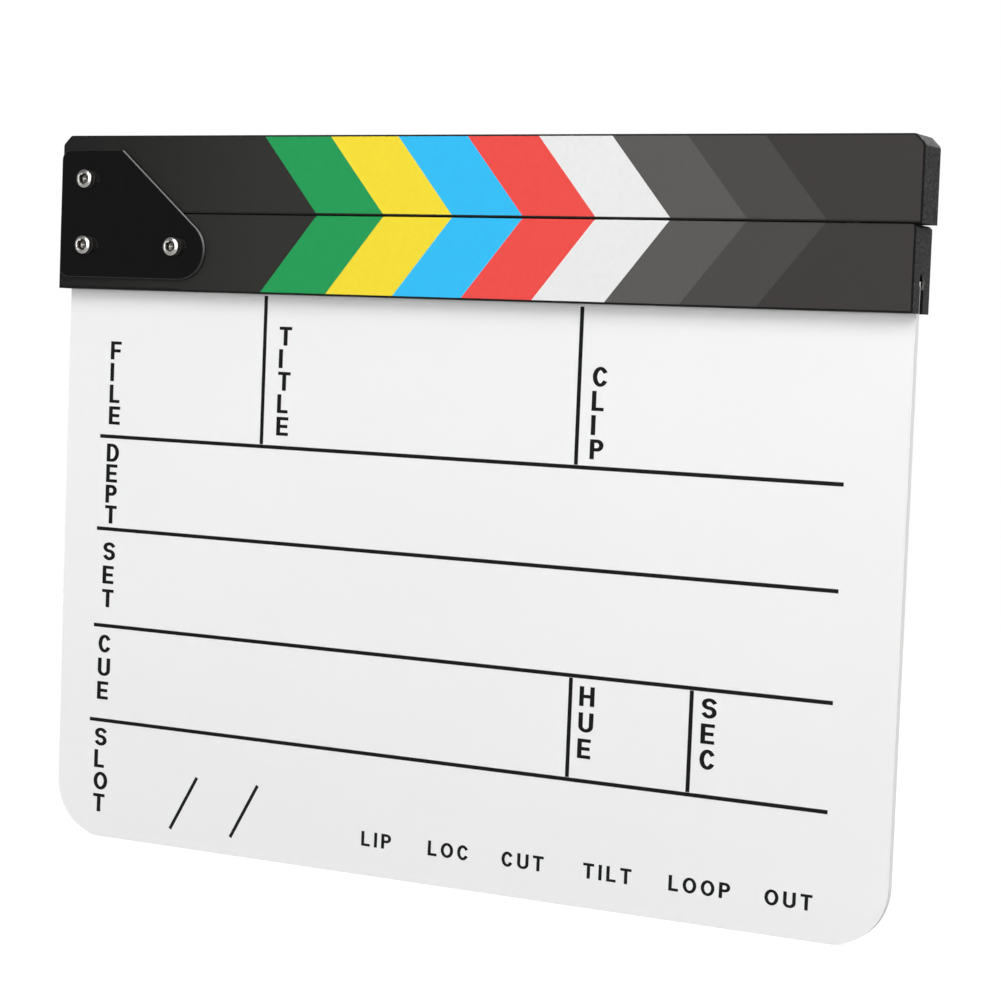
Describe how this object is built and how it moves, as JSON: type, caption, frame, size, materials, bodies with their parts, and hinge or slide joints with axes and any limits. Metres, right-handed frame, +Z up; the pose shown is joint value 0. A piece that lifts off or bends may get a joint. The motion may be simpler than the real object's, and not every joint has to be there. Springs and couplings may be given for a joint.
{
  "type": "clapperboard",
  "caption": "Film clapperboard: white writing board held in a grooved black stick, with a colour-barred upper stick that swings up on a pivot screw between hinge plates.",
  "frame": {"origin": "middle of the writing board's bottom edge, halfway through its thickness", "axes": "+X along the sticks from the hinge end to the free end, +Y away from the reader, +Z up from the board to the sticks"},
  "size_m": [0.3013, 0.0272, 0.2368],
  "materials": {
    "white_acrylic": "smooth white sheet, satin gloss",
    "black_wood": "matt black paint over sawn wood",
    "printed_film": "printed film with slanted bars",
    "gloss_black_plate": "mirror-gloss black acrylic with a sawn edge",
    "stainless_steel": "bright turned steel",
    "nylon": "natural nylon",
    "brass": "turned brass",
    "plated_magnet": "nickel plating"
  },
  "bodies": {
    "slate": {"writing_board": "white_acrylic", "lower_stick": "black_wood", "lower_stick_film": "printed_film", "front_hinge_plate": "gloss_black_plate", "rear_hinge_plate": "gloss_black_plate", "pivot_screw": "stainless_steel", "fixing_screws": "stainless_steel", "pivot_lock_nut": "stainless_steel", "fixing_lock_nuts": "stainless_steel", "lock_nut_inserts": "nylon", "nut_washers": "stainless_steel", "front_thrust_washer": "nylon", "rear_thrust_washer": "nylon", "lower_magnet": "plated_magnet"},
    "clapper": {"upper_stick": "black_wood", "upper_stick_film": "printed_film", "pivot_bush": "brass", "upper_magnet": "plated_magnet"}
  },
  "joints": [
    {"name": "clapper_hinge", "type": "hinge", "parent": "slate", "child": "clapper", "pos_m": [-0.1378, 0, 0.2222], "axis": [0, -1, 0], "range_deg": [0, 80]}
  ]
}
